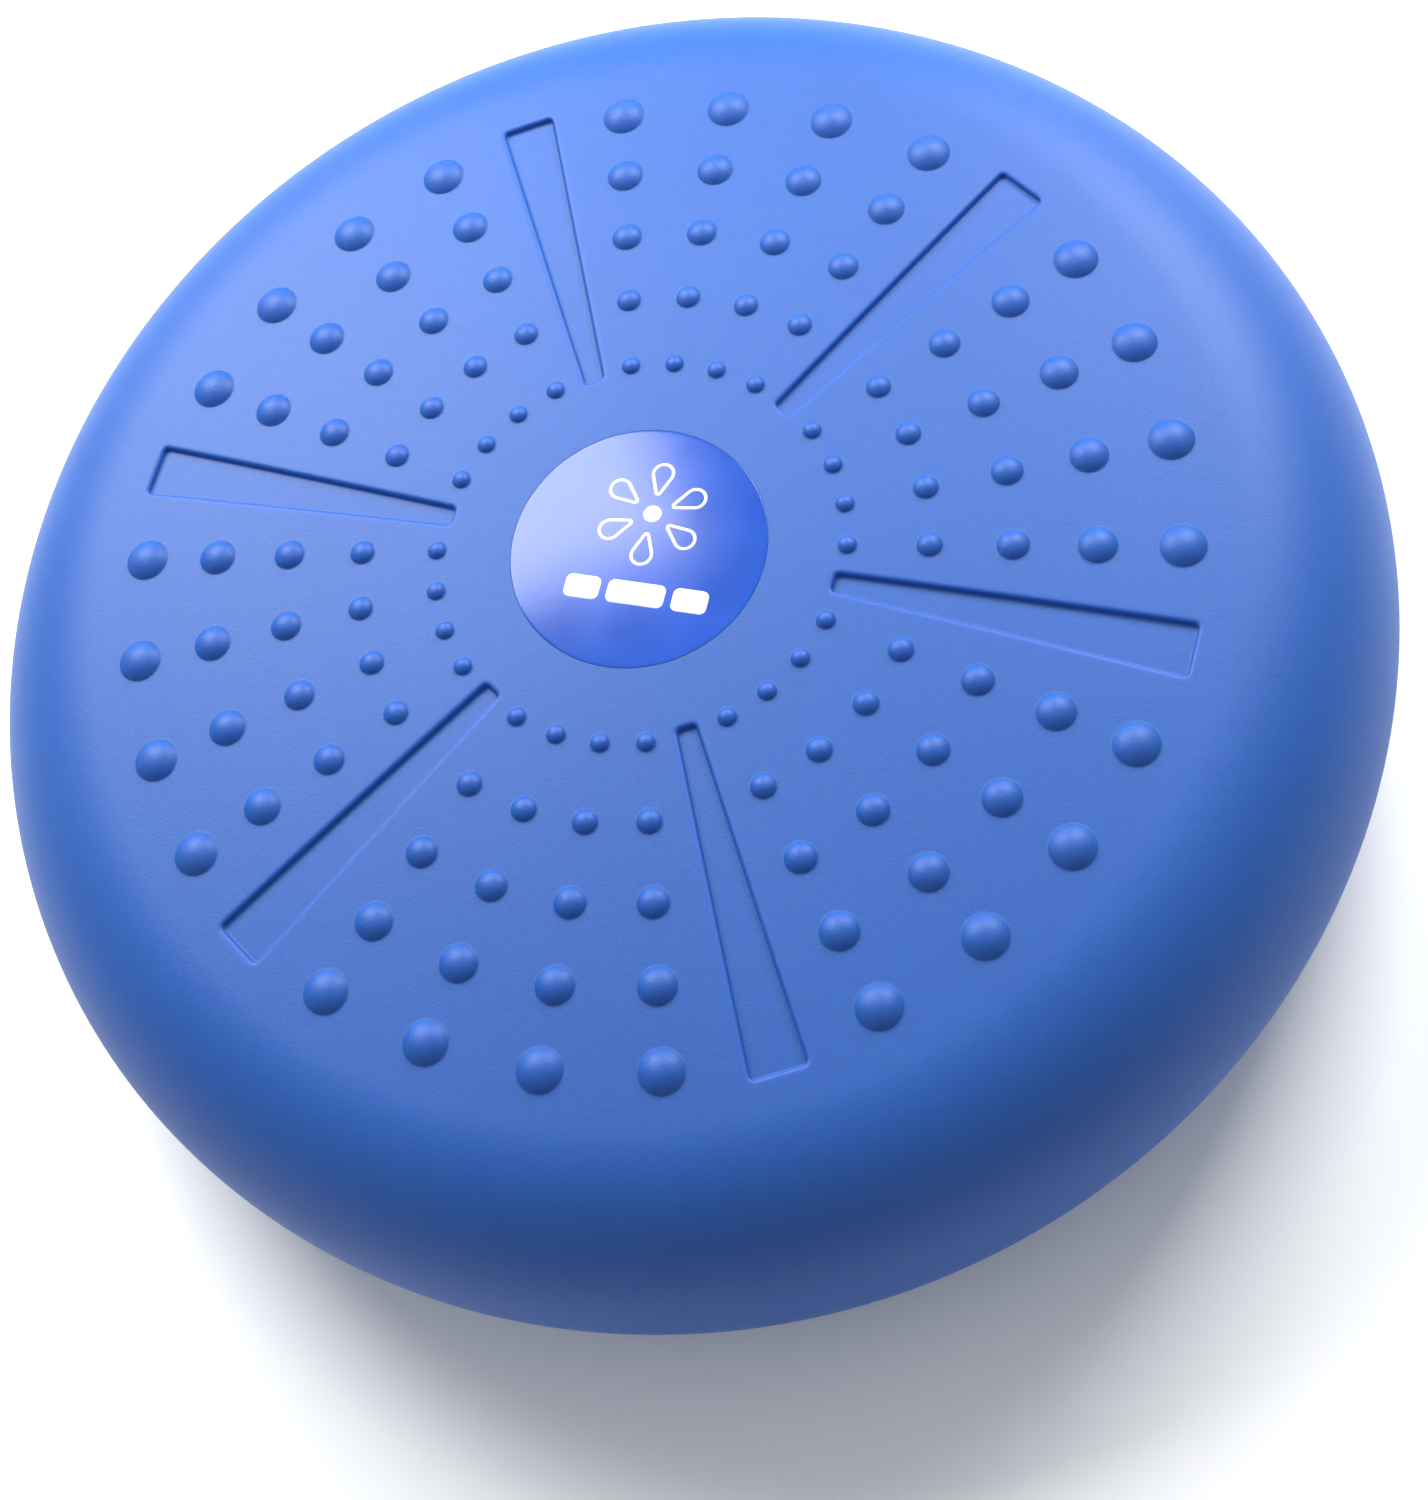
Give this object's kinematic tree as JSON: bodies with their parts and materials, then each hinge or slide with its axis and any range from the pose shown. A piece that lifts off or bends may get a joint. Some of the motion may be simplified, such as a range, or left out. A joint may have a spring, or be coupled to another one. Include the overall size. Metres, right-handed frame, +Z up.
{
  "type": "wobble cushion",
  "caption": "Round air-filled balance cushion with rings of domed nubs, radial wedge recesses, a round centre label and a needle valve in its side.",
  "frame": {"origin": "centre of the flat underside, on the floor that the cushion lies on", "axes": "+Z up through the massage face, +Y outwards through the valve, +X through the middle of a sector of nubs"},
  "size_m": [0.33, 0.33, 0.0809],
  "materials": {
    "skin": "matte soft PVC",
    "label": "glossy vinyl",
    "valve_seat": "satin",
    "valve_plug": "matte",
    "valve_core": "matte"
  },
  "bodies": {
    "base": {"bottom_shell": "skin", "valve_seat": "valve_seat", "valve_plug": "valve_plug", "valve_core": "valve_core"},
    "rim": {"side_wall": "skin"},
    "top": {"top_shell": "skin", "label": "label"}
  },
  "joints": [
    {"name": "tilt_sideways", "type": "hinge", "parent": "base", "child": "rim", "pos_m": [0, 0, 0.029], "axis": [0, 1, 0], "range_deg": [-6, 6], "stiffness_Nm_per_rad": 60, "deforming": ["side_wall"]},
    {"name": "tilt_forward", "type": "hinge", "parent": "rim", "child": "top", "pos_m": [0, 0, 0.05], "axis": [1, 0, 0], "range_deg": [-6, 6], "stiffness_Nm_per_rad": 60, "deforming": ["side_wall"]}
  ]
}
